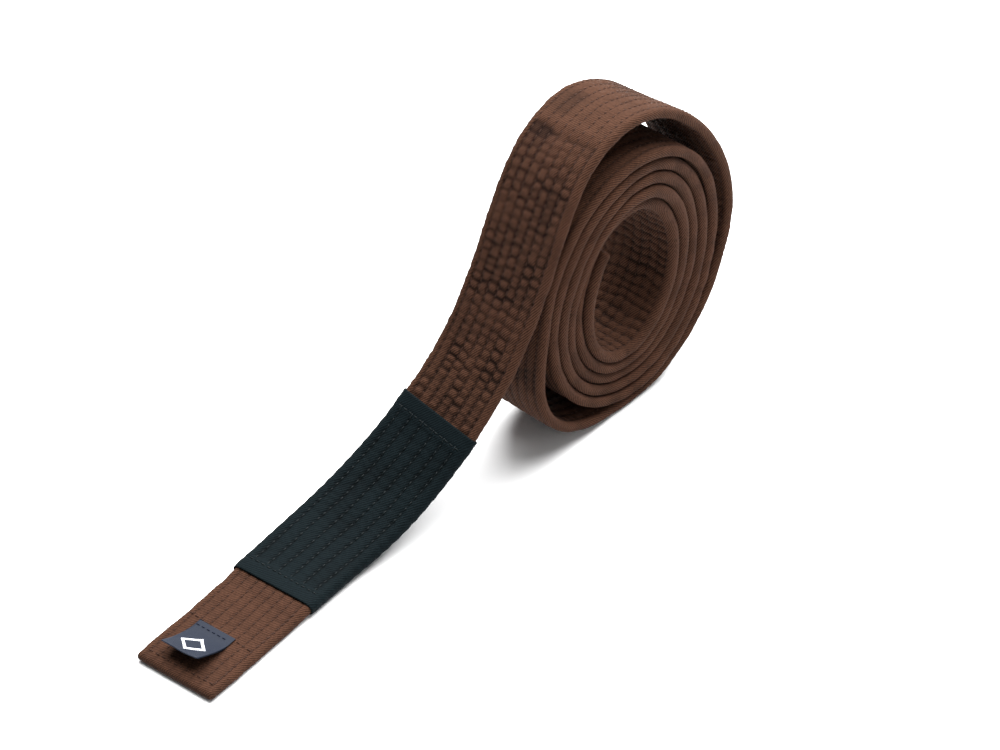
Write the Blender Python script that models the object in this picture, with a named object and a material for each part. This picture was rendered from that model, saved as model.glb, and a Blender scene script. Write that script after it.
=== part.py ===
"""A padded martial arts belt, loosely rolled up, with a rank bar and a size label on its free end.

The roll stands on its rim, with its axis along X. The strap leaves the top of a loose outer loop,
runs down towards -Y and ends flat on the floor. Every length of strap is a twill cover with two
plies of wadding inside it, and the lengths meet at hinge lines across the strap.
"""

import math

import bmesh
import bpy
from mathutils import Vector

# The strap's cross-section
BELT_WIDTH = 0.040
BELT_THICKNESS = 0.0044
COVER_WALL = 0.0005
PLY_COUNT = 2
LAYER_GAP = 0.0003

# The tight coil: an oval spiral of polar angle (0 is +Y, 90 is up) about a centre on the YZ plane.
# Each size is a value at the first angle below, then its growth for each turn from there.
COIL_SIZE_DEG = 135.0
COIL_START_DEG = 120.0
COIL_END_DEG = 2130.0
COIL_STEP_DEG = 15.0
COIL_HALF_WIDTH = (0.0252, 0.0061)
COIL_HALF_HEIGHT = (0.0345, 0.00545)
COIL_CENTRE_Y = (0.0032, 0.0007)
COIL_REST_DEG = 2070.0  # the lowest point of the outermost turn, which lies on the floor
# The outermost turn is loose: it hangs away from the others at the lower front of the roll.
SAG_START_DEG = 1966.0
SAG_END_DEG = COIL_REST_DEG
SAG_DEPTH = 0.009

# Places on the free strap are (y, z, x) from a point on the floor under the roll. x is how far the
# strap has drifted sideways there: it isn't quite in line with the roll.
SHOULDER = (-0.0130, 0.1416, -0.0029)
KNEE = (-0.0509, 0.0915, -0.0006)
BAR_TOP = (-0.0878, 0.0396, -0.0048)
BAR_FOOT = (-0.1846, 0.0035, -0.0102)
TIP_END = (-0.2452, 0.0022, -0.0053)
INNER_BEND_DEG = 195.0

# Where the roll stands, so that the origin is under the middle of the whole object
ROLL_PLACE = (0.0063, 0.0868, 0.0)

# The strap's route from the coil to its tip
ROUTE = [
    (0.0645, 0.0450, -0.0008),
    (0.0685, 0.0580, -0.0011),
    (0.0694, 0.0729, -0.0013),
    (0.0668, 0.0877, -0.0015),
    (0.0613, 0.1016, -0.0018),
    (0.0536, 0.1145, -0.0020),
    (0.0441, 0.1261, -0.0022),
    (0.0328, 0.1359, -0.0025),
    (0.0197, 0.1431, -0.0027),
    (0.0052, 0.1462, -0.0029),
    SHOULDER,
    (-0.0221, 0.1356, -0.0026),
    (-0.0320, 0.1244, -0.0020),
    (-0.0399, 0.1117, -0.0012),
    KNEE,
    (-0.0616, 0.0723, -0.0012),
    (-0.0698, 0.0598, -0.0021),
    BAR_TOP,
    (-0.1012, 0.0281, -0.0068),
    (-0.1135, 0.0200, -0.0084),
    (-0.1268, 0.0134, -0.0098),
    (-0.1409, 0.0086, -0.0110),
    (-0.1556, 0.0056, -0.0117),
    (-0.1705, 0.0040, -0.0113),
    BAR_FOOT,
    (-0.1930, 0.0024, -0.0095),
    (-0.2004, 0.0022, -0.0089),
    (-0.2230, 0.0022, -0.0070),
    TIP_END,
]
ROUTE_STEP = 0.010
FLEX_GAP = 0.0018  # between two lengths of strap, so that their square ends clear in a bend
TIP_WALL = 0.0012

# The rank bar: a sleeve around the strap, with a folded hem at each end
BAR_CLEARANCE = 0.0003
BAR_WALL = 0.0006
BAR_SETBACK = 0.0009
BAR_HEM_LENGTH = 0.008
BAR_HEM_THREAD = 0.0065
BAR_THREAD_ROWS = 6
BAR_THREAD_EDGE = 0.0045

# Sewing thread, drawn as a flat row that lies on the cloth
THREAD_WIDTH = 0.0006
THREAD_HEIGHT = 0.0003
THREAD_GAP = 0.00015

# Stitching on the tip, as distances back from its end
TIP_END_ROW = 0.0045
TIP_CROSS_ROW = 0.0350
TIP_EDGE_ROW_X = 0.0165
TIP_ROW_MARGIN = 0.002

# The size label: a woven tab with a base strip sewn down and a folded flap that lifts
LABEL_X = -0.0020
LABEL_WIDTH = 0.0187
LABEL_BASE_START = 0.0247
LABEL_BASE_LENGTH = 0.0048
LABEL_ROW_START = 0.0265
LABEL_BASE_HEIGHT = 0.0005
LABEL_LEAF = 0.00035
LABEL_SLOT = 0.0003
LABEL_HINGE_GAP = 0.0012
LABEL_FLAP_LENGTH = 0.0180
LABEL_FLAP_LIFT_DEG = 12.0
LABEL_FLAP_CURL_DEG = 16.0
LABEL_FLAP_STEPS = 6

BROWN = (0.085, 0.040, 0.027, 1.0)
BAR_BLACK = (0.010, 0.017, 0.021, 1.0)
NAVY = (0.012, 0.018, 0.040, 1.0)
UNDYED = (0.55, 0.50, 0.42, 1.0)
DARK_BROWN_THREAD = (0.055, 0.026, 0.018, 1.0)


def material(name, colour, roughness):
    """A cloth material with one colour."""
    made = bpy.data.materials.new(name)
    made.use_nodes = True
    shader = made.node_tree.nodes["Principled BSDF"]
    shader.inputs["Base Color"].default_value = colour
    shader.inputs["Roughness"].default_value = roughness
    shader.inputs["Metallic"].default_value = 0.0
    return made


def coil_point(angle_deg):
    """The middle of the strap on the coil, as (y, z, x)."""
    turns = (angle_deg - COIL_SIZE_DEG) / 360.0
    half_width, half_height, centre_y = (
        first + growth * turns for first, growth in (COIL_HALF_WIDTH, COIL_HALF_HEIGHT, COIL_CENTRE_Y)
    )
    angle = math.radians(angle_deg)
    reach = 1.0 / math.hypot(math.cos(angle) / half_width, math.sin(angle) / half_height)
    if SAG_START_DEG < angle_deg < SAG_END_DEG:
        share = (angle_deg - SAG_START_DEG) / (SAG_END_DEG - SAG_START_DEG)
        reach += SAG_DEPTH * math.sin(math.pi * share) ** 2
    return Vector((centre_y + reach * math.cos(angle), coil_centre_z() + reach * math.sin(angle), 0.0))


def coil_centre_z():
    """The height that stands the outermost turn on the floor."""
    turns = (COIL_REST_DEG - COIL_SIZE_DEG) / 360.0
    return COIL_HALF_HEIGHT[0] + COIL_HALF_HEIGHT[1] * turns + BELT_THICKNESS / 2


def coil_line(start_deg, end_deg):
    """Points along the coil, one for each step."""
    count = round((end_deg - start_deg) / COIL_STEP_DEG)
    return [coil_point(start_deg + COIL_STEP_DEG * i) for i in range(count + 1)]


def route_line():
    """A smooth line from the coil's end through the route (a Catmull-Rom curve), never below the floor."""
    before = coil_point(COIL_END_DEG - COIL_STEP_DEG)
    knots = [before, coil_point(COIL_END_DEG)] + [Vector(point) for point in ROUTE]
    knots.append(2 * knots[-1] - knots[-2])
    line = []
    for a, b, c, d in zip(knots, knots[1:], knots[2:], knots[3:]):
        steps = max(1, round((c - b).length / ROUTE_STEP))
        for step in range(steps):
            t = step / steps
            bend = (2 * a - 5 * b + 4 * c - d) * t**2 + (3 * b - a - 3 * c + d) * t**3
            y, z, x = 0.5 * (2 * b + (c - a) * t + bend)
            line.append(Vector((y, max(z, BELT_THICKNESS / 2), x)))
    return line + [knots[-2]]


def between(line, start, end):
    """The stretch of a line from one of its points to another."""
    return line[nearest(line, start) : nearest(line, end) + 1]


def nearest(line, point):
    """Which of the line's points is at this place."""
    return min(range(len(line)), key=lambda i: (line[i] - Vector(point)).length)


def shortened(line, at_start, at_end):
    """The line with this much of its length taken off each end."""
    for distance in (at_start, at_end):
        while len(line) > 2 and distance >= (line[1] - line[0]).length:
            distance -= (line[1] - line[0]).length
            line = line[1:]
        along = (line[1] - line[0]).normalized()
        line = [line[0] + along * distance] + line[1:]
        line.reverse()
    return line


def offset(line, height):
    """The line moved sideways, keeping its facets parallel. Positive is the strap's outer side."""
    directions = [Vector((b.x - a.x, b.y - a.y, 0.0)).normalized() for a, b in zip(line, line[1:])]
    directions = [directions[0]] + directions + [directions[-1]]
    moved = []
    for point, before, after in zip(line, directions, directions[1:]):
        along = (before + after).normalized()
        outward = Vector((along.y, -along.x, 0.0))
        moved.append(point + outward * height / along.dot(after))
    return moved


def join_rings(mesh, first, second):
    """Side faces between two rings of vertices."""
    count = len(first)
    for i in range(count):
        j = (i + 1) % count
        mesh.faces.new((first[i], first[j], second[j], second[i]))


def finished(mesh, name, finish, body):
    """Turns a bmesh into a named object that hangs from its body's pivot."""
    bmesh.ops.recalc_face_normals(mesh, faces=mesh.faces)
    data = bpy.data.meshes.new(name)
    bmesh.ops.translate(mesh, vec=-PLACES[body], verts=mesh.verts)
    mesh.to_mesh(data)
    mesh.free()
    data.materials.append(finish)
    obj = bpy.data.objects.new(name, data)
    obj.parent = PIVOTS[body]
    bpy.context.collection.objects.link(obj)
    return obj


def bar(name, line, x_range, heights, finish, body):
    """A solid strip: a rectangle carried along the line."""
    mesh = bmesh.new()
    low, high = (offset(line, height) for height in heights)
    rings = []
    for under, over in zip(low, high):
        corners = ((x_range[0], under), (x_range[1], under), (x_range[1], over), (x_range[0], over))
        rings.append([mesh.verts.new((x + p.z, p.x, p.y)) for x, p in corners])
    for first, second in zip(rings, rings[1:]):
        join_rings(mesh, first, second)
    mesh.faces.new(rings[0])
    mesh.faces.new(rings[-1])
    return finished(mesh, name, finish, body)


def tube(name, line, half_width, half_height, wall, finish, body, end_wall=0.0):
    """A flat sleeve, open at its start, and closed at its end when end_wall is more than 0."""
    mesh = bmesh.new()
    inner_line = shortened(line, 0.0, end_wall)
    shells = []
    for shell_line, width, height in (
        (line, half_width, half_height),
        (inner_line, half_width - wall, half_height - wall),
    ):
        low = offset(shell_line, -height)
        high = offset(shell_line, height)
        rings = []
        for under, over in zip(low, high):
            corners = ((-width, under), (width, under), (width, over), (-width, over))
            rings.append([mesh.verts.new((x + p.z, p.x, p.y)) for x, p in corners])
        for first, second in zip(rings, rings[1:]):
            join_rings(mesh, first, second)
        shells.append(rings)
    outer, inner = shells
    join_rings(mesh, outer[0], inner[0])
    if end_wall:
        mesh.faces.new(outer[-1])
        mesh.faces.new(inner[-1])
    else:
        join_rings(mesh, outer[-1], inner[-1])
    return finished(mesh, name, finish, body)


def strap_length(label, line, body, end_wall=0.0):
    """One length of strap: its cover and the plies of wadding inside it."""
    half_width = BELT_WIDTH / 2
    half_height = BELT_THICKNESS / 2
    tube(f"cover_{label}", line, half_width, half_height, COVER_WALL, BROWN_TWILL, body, end_wall)
    room = 2 * (half_height - COVER_WALL)
    ply = (room - LAYER_GAP * (PLY_COUNT + 1)) / PLY_COUNT
    ply_half_width = half_width - COVER_WALL - LAYER_GAP
    ply_line = shortened(line, 0.0, end_wall + LAYER_GAP if end_wall else 0.0)
    for number in range(PLY_COUNT):
        low = -room / 2 + LAYER_GAP + number * (ply + LAYER_GAP)
        name = f"wadding_{label}_{'inner' if number == 0 else 'outer'}"
        bar(name, ply_line, (-ply_half_width, ply_half_width), (low, low + ply), WADDING, body)


def thread_row(name, line, x_range, base, finish, body):
    """A row of stitching that lies on a surface at this height above the strap's middle."""
    heights = (base + THREAD_GAP, base + THREAD_GAP + THREAD_HEIGHT)
    return bar(name, line, x_range, heights, finish, body)


def rank_bar(line, body):
    """The black sleeve, the raised hem at each of its ends, and the rows of stitching along it."""
    sleeve = shortened(line, BAR_SETBACK - FLEX_GAP / 2, BAR_SETBACK - FLEX_GAP / 2)
    inside = BELT_THICKNESS / 2 + BAR_CLEARANCE
    half_width = BELT_WIDTH / 2 + BAR_CLEARANCE + BAR_WALL
    top = inside + BAR_WALL
    tube("rank_bar_sleeve", sleeve, half_width, top, BAR_WALL, BAR_CLOTH, body)
    reach = half_width - BAR_THREAD_EDGE
    rows_line = shortened(line, BAR_HEM_LENGTH, BAR_HEM_LENGTH / 2)
    for row in range(BAR_THREAD_ROWS):
        x = -reach + 2 * reach * row / (BAR_THREAD_ROWS - 1)
        x_range = (x - THREAD_WIDTH / 2, x + THREAD_WIDTH / 2)
        thread_row(f"rank_bar_thread_{row + 1}", rows_line, x_range, top, BAR_THREAD, body)
    side = half_width - THREAD_WIDTH
    for place, distance in (("top", BAR_HEM_THREAD), ("foot", 0.0)):
        hem_line = cross_row(sleeve, distance, place == "foot")
        thread_row(f"rank_bar_hem_thread_{place}", hem_line, (-side, side), top, BAR_THREAD, body)


def cross_row(line, distance, from_end):
    """A short stretch of line, one thread wide, for a row of stitching that runs across the strap."""
    start, toward = (line[-1], line[-2]) if from_end else (line[0], line[1])
    along = (toward - start).normalized()
    first = start + along * (distance + THREAD_WIDTH)
    second = start + along * (distance + 2 * THREAD_WIDTH)
    return [second, first] if from_end else [first, second]


def tip_stretch(near, far):
    """The flat end of the strap between two distances back from its end."""
    end = Vector(TIP_END)
    along = (between(FREE_LINE, BAR_FOOT, TIP_END)[-2] - end).normalized()
    return [end + along * far, end + along * near]


def tip_stitching(body):
    """The rows that close the folded end of the cover."""
    top = BELT_THICKNESS / 2
    side = BELT_WIDTH / 2 - TIP_ROW_MARGIN
    end_row = tip_stretch(TIP_END_ROW, TIP_END_ROW + THREAD_WIDTH)
    thread_row("tip_thread_end", end_row, (-side, TIP_EDGE_ROW_X - THREAD_WIDTH), top, BELT_THREAD, body)
    cross = tip_stretch(TIP_CROSS_ROW, TIP_CROSS_ROW + THREAD_WIDTH)
    thread_row("tip_thread_cross", cross, (-side, TIP_EDGE_ROW_X - THREAD_WIDTH), top, BELT_THREAD, body)
    edge = tip_stretch(TIP_END_ROW, TIP_CROSS_ROW)
    x_range = (TIP_EDGE_ROW_X, TIP_EDGE_ROW_X + THREAD_WIDTH)
    thread_row("tip_thread_edge", edge, x_range, top, BELT_THREAD, body)


def label_hinge():
    """The line that the label's flap bends about."""
    height = BELT_THICKNESS / 2 + THREAD_GAP + LABEL_LEAF + LABEL_SLOT / 2
    return tip_stretch(0.0, LABEL_BASE_START - LABEL_HINGE_GAP / 2)[0] + Vector((0.0, height, 0.0))


def label(tip_body, flap_body):
    """The woven label: a base strip with its thread on the tip, and the folded flap on its own hinge."""
    x_range = (LABEL_X - LABEL_WIDTH / 2, LABEL_X + LABEL_WIDTH / 2)
    top = BELT_THICKNESS / 2 + THREAD_GAP
    base = tip_stretch(LABEL_BASE_START, LABEL_BASE_START + LABEL_BASE_LENGTH)
    bar("label_base", base, x_range, (top, top + LABEL_BASE_HEIGHT), LABEL_CLOTH, tip_body)
    row = tip_stretch(LABEL_ROW_START, LABEL_ROW_START + THREAD_WIDTH)
    row_range = (x_range[0] + THREAD_WIDTH, x_range[1] - THREAD_WIDTH)
    thread_row("label_thread", row, row_range, top + LABEL_BASE_HEIGHT, LABEL_THREAD, tip_body)

    point = label_hinge() - Vector((LABEL_HINGE_GAP / 2, 0.0, 0.0))
    line = [point]
    for step in range(LABEL_FLAP_STEPS):
        angle = math.radians(LABEL_FLAP_LIFT_DEG + LABEL_FLAP_CURL_DEG * step / LABEL_FLAP_STEPS)
        stride = LABEL_FLAP_LENGTH / LABEL_FLAP_STEPS
        point = point + Vector((-math.cos(angle), math.sin(angle), 0.0)) * stride
        line.append(point)
    folded_strip("label_flap", line, x_range, LABEL_CLOTH, flap_body)


def folded_strip(name, line, x_range, finish, body):
    """Two leaves of tape joined at their far end by a fold, as one solid."""
    half = LABEL_LEAF + LABEL_SLOT / 2
    slot_line = shortened(line, 0.0, LABEL_LEAF)
    outline = offset(line, half)
    outline += reversed(offset(line, -half))
    outline += offset(slot_line, -LABEL_SLOT / 2)
    outline += reversed(offset(slot_line, LABEL_SLOT / 2))
    mesh = bmesh.new()
    rings = [[mesh.verts.new((x + p.z, p.x, p.y)) for p in outline] for x in x_range]
    join_rings(mesh, rings[0], rings[1])
    for ring in rings:
        mesh.faces.new(ring)
    return finished(mesh, name, finish, body)


def add_pivot(name, place, parent):
    """An empty on a body's hinge line. Its children are the body's pieces and the next pivots."""
    empty = bpy.data.objects.new(f"pivot_{name}", None)
    bpy.context.collection.objects.link(empty)
    PIVOTS[name] = empty
    PLACES[name] = Vector((0.0, place[0], place[1]))
    if parent:
        empty.parent = PIVOTS[parent]
        empty.location = PLACES[name] - PLACES[parent]
    else:
        empty.location = PLACES[name] + Vector(ROLL_PLACE)


def clear_scene():
    """Removes everything that the scene starts with."""
    for obj in list(bpy.data.objects):
        bpy.data.objects.remove(obj)


clear_scene()
BROWN_TWILL = material("brown_cotton_twill", BROWN, 0.85)
BAR_CLOTH = material("black_cotton_twill", BAR_BLACK, 0.8)
LABEL_CLOTH = material("navy_woven_tape", NAVY, 0.6)
WADDING = material("cotton_wadding", UNDYED, 0.95)
BELT_THREAD = material("brown_thread", DARK_BROWN_THREAD, 0.6)
BAR_THREAD = material("black_thread", BAR_BLACK, 0.6)
LABEL_THREAD = material("navy_thread", NAVY, 0.5)

PIVOTS = {}
PLACES = {}
FREE_LINE = route_line()
add_pivot("roll", (0.0, 0.0), None)
add_pivot("inner_end", coil_point(INNER_BEND_DEG), "roll")
add_pivot("loop", coil_point(COIL_END_DEG), "roll")
add_pivot("upper_tail", SHOULDER, "loop")
add_pivot("lower_tail", KNEE, "upper_tail")
add_pivot("bar", BAR_TOP, "lower_tail")
add_pivot("tip", BAR_FOOT, "bar")
add_pivot("label_flap", label_hinge(), "tip")

HALF_GAP = FLEX_GAP / 2
strap_length("inner_end", shortened(coil_line(COIL_START_DEG, INNER_BEND_DEG), 0.0, HALF_GAP), "inner_end")
strap_length("roll", shortened(coil_line(INNER_BEND_DEG, COIL_END_DEG), HALF_GAP, HALF_GAP), "roll")
LENGTHS = (
    ("loop", coil_point(COIL_END_DEG), SHOULDER),
    ("upper_tail", SHOULDER, KNEE),
    ("lower_tail", KNEE, BAR_TOP),
    ("bar", BAR_TOP, BAR_FOOT),
)
for label_name, length_start, length_end in LENGTHS:
    stretch = shortened(between(FREE_LINE, length_start, length_end), HALF_GAP, HALF_GAP)
    strap_length(label_name, stretch, label_name)
strap_length("tip", shortened(between(FREE_LINE, BAR_FOOT, TIP_END), HALF_GAP, 0.0), "tip", TIP_WALL)
rank_bar(shortened(between(FREE_LINE, BAR_TOP, BAR_FOOT), HALF_GAP, HALF_GAP), "bar")
tip_stitching("tip")
label("tip", "label_flap")
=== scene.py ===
# %% [markdown]
# # A padded belt for martial arts, loosely rolled up
# The belt is one long strap: several thin layers of cotton held in a twill cover by rows of
# stitching that run its whole length. It is rolled up on its rim, and the free end comes off the
# top of a loose outer loop and runs down to the floor. The free end carries a black rank bar and a
# small folded label. The CAD frame holds the sizes and the bending lines, and this file adds the
# cloth. A strap this stiff doesn't drape, so its shape is modelled directly and nothing is simulated.

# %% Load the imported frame
import math

import bpy
import numpy as np
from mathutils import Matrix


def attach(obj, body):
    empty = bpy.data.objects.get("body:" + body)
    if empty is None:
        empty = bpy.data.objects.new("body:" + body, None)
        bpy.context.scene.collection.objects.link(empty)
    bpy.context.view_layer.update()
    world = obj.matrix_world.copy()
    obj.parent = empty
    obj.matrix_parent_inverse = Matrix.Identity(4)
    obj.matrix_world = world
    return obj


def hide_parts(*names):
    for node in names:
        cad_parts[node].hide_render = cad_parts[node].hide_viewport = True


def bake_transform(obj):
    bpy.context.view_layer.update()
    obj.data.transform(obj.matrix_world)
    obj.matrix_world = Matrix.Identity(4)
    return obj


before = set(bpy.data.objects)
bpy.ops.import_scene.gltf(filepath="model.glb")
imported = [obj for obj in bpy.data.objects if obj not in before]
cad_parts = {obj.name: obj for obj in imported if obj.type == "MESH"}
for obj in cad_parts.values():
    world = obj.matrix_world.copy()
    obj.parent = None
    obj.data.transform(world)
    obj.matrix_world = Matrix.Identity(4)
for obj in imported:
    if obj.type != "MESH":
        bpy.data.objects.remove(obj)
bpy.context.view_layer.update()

random = np.random.default_rng(7)

# %% [markdown]
# ## The real sizes
# These are the strap's own sizes, in metres, the same ones that the CAD frame was made with. The
# coil is an oval spiral that grows by about one strap thickness a turn, and the free strap runs
# through a list of places. Each place is (y, z, x) from a point on the floor under the roll, and
# how far the strap leans there, in degrees, because a stiff strap twists a little on its way down.

# %% Sizes of the strap, the coil and the free end
HALF_WIDTH = 0.0200
FREE_HALF_THICKNESS = 0.0023
ROLL_PLACE = np.array([0.0063, 0.0868, 0.0])
COIL_SIZE_DEG = 135.0
COIL_START_DEG = 120.0
COIL_END_DEG = 2130.0
SAG_START_DEG = 1966.0
SAG_END_DEG = 2070.0
SAG_DEPTH = 0.009
COIL_HALF_WIDTH = (0.0252, 0.0061)
COIL_HALF_HEIGHT = (0.0345, 0.00545)
COIL_CENTRE_Y = (0.0032, 0.0007)
COIL_CENTRE_Z = 0.06599375
INNER_BEND_DEG = 195.0

LOOP_FRONT = (0.0694, 0.0729, -0.0013, 3.3)
LOOP_MIDDLE = (0.0613, 0.1016, -0.0018, 3.7)
LOOP_CREST = (0.0441, 0.1261, -0.0022, 3.7)
SHOULDER = (-0.0130, 0.1416, -0.0029, 3.2)
UPPER_MIDDLE = (-0.0320, 0.1244, -0.0020, 2.5)
KNEE = (-0.0509, 0.0915, -0.0006, 1.6)
LOWER_MIDDLE = (-0.0698, 0.0598, -0.0021, 0.1)
BAR_TOP = (-0.0878, 0.0396, -0.0048, -2.3)
BAR_MIDDLE = (-0.1268, 0.0134, -0.0098, -7.5)
BAR_FOOT = (-0.1846, 0.0035, -0.0102, -0.8)
TIP_END = (-0.2452, 0.0022, -0.0053, 0.0)
ROUTE = [
    (0.0645, 0.0450, -0.0008, 1.5),
    (0.0685, 0.0580, -0.0011, 2.5),
    LOOP_FRONT,
    (0.0668, 0.0877, -0.0015, 3.7),
    LOOP_MIDDLE,
    (0.0536, 0.1145, -0.0020, 3.7),
    LOOP_CREST,
    (0.0328, 0.1359, -0.0025, 3.7),
    (0.0197, 0.1431, -0.0027, 3.7),
    (0.0052, 0.1462, -0.0029, 3.6),
    SHOULDER,
    (-0.0221, 0.1356, -0.0026, 2.9),
    UPPER_MIDDLE,
    (-0.0399, 0.1117, -0.0012, 2.1),
    KNEE,
    (-0.0616, 0.0723, -0.0012, 1.0),
    LOWER_MIDDLE,
    BAR_TOP,
    (-0.1012, 0.0281, -0.0068, -4.2),
    (-0.1135, 0.0200, -0.0084, -6.3),
    BAR_MIDDLE,
    (-0.1409, 0.0086, -0.0110, -7.0),
    (-0.1556, 0.0056, -0.0117, -5.0),
    (-0.1705, 0.0040, -0.0113, -2.0),
    BAR_FOOT,
    (-0.1930, 0.0024, -0.0095, 0.0),
    (-0.2004, 0.0022, -0.0089, 0.0),
    (-0.2230, 0.0022, -0.0070, 0.0),
    TIP_END,
]
print("places on the free strap:", len(ROUTE))

# %% [markdown]
# ## The strap's middle line
# The coil and the free strap are one line, so one curve is drawn through all of it. At every point
# the strap also needs three directions: along it, across it, and out of its outer face. Across is
# as near to the roll's axis as it can be, turned by the lean.


# %% A smooth curve through places, and the strap's directions
def smooth_through(knots, values, places):
    """A smooth curve that passes through the values at the knots, read at the given places."""
    slopes = np.gradient(values, knots, axis=0)
    cell = np.clip(np.searchsorted(knots, places, side="right") - 1, 0, len(knots) - 2)
    step = (knots[cell + 1] - knots[cell])[:, None]
    t = (places - knots[cell])[:, None] / step
    low, high = values[cell], values[cell + 1]
    start = (2 * t**3 - 3 * t**2 + 1) * low + (t**3 - 2 * t**2 + t) * step * slopes[cell]
    end = (3 * t**2 - 2 * t**3) * high + (t**3 - t**2) * step * slopes[cell + 1]
    return start + end


def unit(vectors):
    """The vectors, each with a length of 1."""
    return vectors / np.linalg.norm(vectors, axis=-1, keepdims=True)


def coil_places(angle_deg, sag=0.0):
    """The middle of the strap on the coil at polar angles (0 is +Y, 90 is up).

    sag is how far the loose outermost turn hangs away at the lower front of the roll."""
    turns = (angle_deg - COIL_SIZE_DEG) / 360
    angle = np.radians(angle_deg)
    half_width = COIL_HALF_WIDTH[0] + COIL_HALF_WIDTH[1] * turns
    half_height = COIL_HALF_HEIGHT[0] + COIL_HALF_HEIGHT[1] * turns
    centre_y = COIL_CENTRE_Y[0] + COIL_CENTRE_Y[1] * turns
    reach = 1 / np.hypot(np.cos(angle) / half_width, np.sin(angle) / half_height)
    share = np.clip((angle_deg - SAG_START_DEG) / (SAG_END_DEG - SAG_START_DEG), 0, 1)
    reach = reach + sag * np.sin(math.pi * share) ** 2
    y = centre_y + reach * np.cos(angle)
    return np.stack([np.zeros_like(y), y, COIL_CENTRE_Z + reach * np.sin(angle)], -1)


coil_angles = np.arange(COIL_START_DEG, COIL_END_DEG + 1, 5.0)
coil = coil_places(coil_angles, SAG_DEPTH)
free = np.array([(x, y, z) for y, z, x, _ in ROUTE])
knots = np.concatenate([coil, free])
knot_s = np.concatenate([[0], np.cumsum(np.linalg.norm(np.diff(knots, axis=0), axis=1))])
lean_s = knot_s[len(coil) - 1 :]
lean = np.radians([0.0] + [place[3] for place in ROUTE])
LENGTH = knot_s[-1]
FINE_STEP = 0.0003
fine_s = np.linspace(0, LENGTH, int(LENGTH / FINE_STEP))
fine_places = smooth_through(knot_s, knots, fine_s) + ROLL_PLACE
print(f"strap length {LENGTH:.3f} m")


# %% The distance along the strap of a coil angle, or of a place on the free strap
def coil_s(angle_deg):
    """How far along the strap a coil angle is."""
    return float(np.interp(angle_deg, coil_angles, knot_s[: len(coil)]))


def free_s(place):
    """How far along the strap one of the named places is."""
    return float(knot_s[len(coil) + ROUTE.index(place)])


COIL_END = coil_s(COIL_END_DEG)
print(f"coil {COIL_END:.3f} m, rank bar from {free_s(BAR_TOP):.3f} m to {free_s(BAR_FOOT):.3f} m")

# %% [markdown]
# The coil was rolled by hand, so its turns don't lie exactly over each other: each wanders up to a
# millimetre or so to one side. Two slow waves of unequal length do that without repeating.

# %% Wander, and the directions at any distance along the strap
WANDER_FADE = 0.05
in_coil = np.clip((COIL_END - fine_s) / WANDER_FADE, 0, 1)
wander = 0.0009 * np.sin(fine_s / 0.059 + 1.0) + 0.0006 * np.sin(fine_s / 0.0237 + 2.0)
fine_places[:, 0] += wander * in_coil
fine_along = unit(np.gradient(fine_places, fine_s, axis=0))
axis = np.array([1.0, 0.0, 0.0])
fine_across = unit(axis - fine_along * (fine_along @ axis)[:, None])
fine_out = np.cross(fine_along, fine_across)
LEAN_SPREAD = 30  # fine steps to each side, over which the lean is averaged
turn = np.pad(np.interp(fine_s, lean_s, lean), LEAN_SPREAD, mode="edge")
window = np.ones(2 * LEAN_SPREAD + 1) / (2 * LEAN_SPREAD + 1)
turn = np.convolve(turn, window, mode="valid")[:, None]
fine_across, fine_out = (
    fine_across * np.cos(turn) + fine_out * np.sin(turn),
    fine_out * np.cos(turn) - fine_across * np.sin(turn),
)


def read(values, s):
    """Values known along the whole strap, read at distances s."""
    return np.stack([np.interp(s, fine_s, values[:, i]) for i in range(3)], -1)


def directions(s):
    """The strap's middle, and its along, across and out directions, at distances s."""
    return read(fine_places, s), *(unit(read(v, s)) for v in (fine_along, fine_across, fine_out))


print("tip ends at", directions(np.array([LENGTH]))[0][0].round(4))

# %% [markdown]
# ## Thickness
# Rolled tightly, the padded strap fills the space between one turn and the next, and its rounded
# edges meet in dark creases. So in the coil the thickness follows the gap to the next turn. The
# loose outer turn and the free end keep the thickness that the padding has by itself, and the rank
# bar presses the strap a little thinner.

# %% Half the strap's thickness along it
pitch_angles = np.arange(COIL_START_DEG, COIL_END_DEG + 1, 15.0)
gap = coil_places(pitch_angles + 360) - coil_places(pitch_angles)
ahead = unit(coil_places(pitch_angles + 1) - coil_places(pitch_angles - 1))
pitch = np.abs(np.cross(ahead, gap)[:, 0])
PACKED_SHARE = 0.475
THICKEST = 0.0029
THINNEST = 0.0019
UNDER_BAR = 0.0021
LOOSE_FROM_DEG = 1790
LOOSE_OVER = 0.06
packed = np.clip(PACKED_SHARE * pitch, FREE_HALF_THICKNESS, THICKEST)
packed_s = np.array([coil_s(a) for a in pitch_angles])
loose = np.clip((packed_s - coil_s(LOOSE_FROM_DEG)) / LOOSE_OVER, 0, 1)
packed = packed * (1 - loose) + FREE_HALF_THICKNESS * loose


def half_thickness(s):
    """Half the strap's thickness at distances s, before any quilting."""
    half = np.interp(s, packed_s, packed, right=FREE_HALF_THICKNESS)
    under_bar = (s > free_s(BAR_TOP) + 0.002) & (s < free_s(BAR_FOOT) - 0.002)
    half = np.where(under_bar, UNDER_BAR, half)
    height = directions(s)[0][:, 2]
    return np.minimum(half, np.maximum(height, THINNEST))


print(f"half thickness {half_thickness(fine_s).min():.4f} to {half_thickness(fine_s).max():.4f} m")

# %% [markdown]
# ## Quilting
# Eight rows of lockstitch run along the strap. Each pulls the cover down into a groove, and the
# cover, which is slightly fuller than the padding, puckers between rows: on a bent or worn belt
# that gives small cushions about 4 mm long, out of step from one channel to the next. Inside a
# tight bend the cover has too much length and gathers into wrinkles right across the strap.
# Smooth random curves keep the cushions and wrinkles from looking like a regular pattern.

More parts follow.
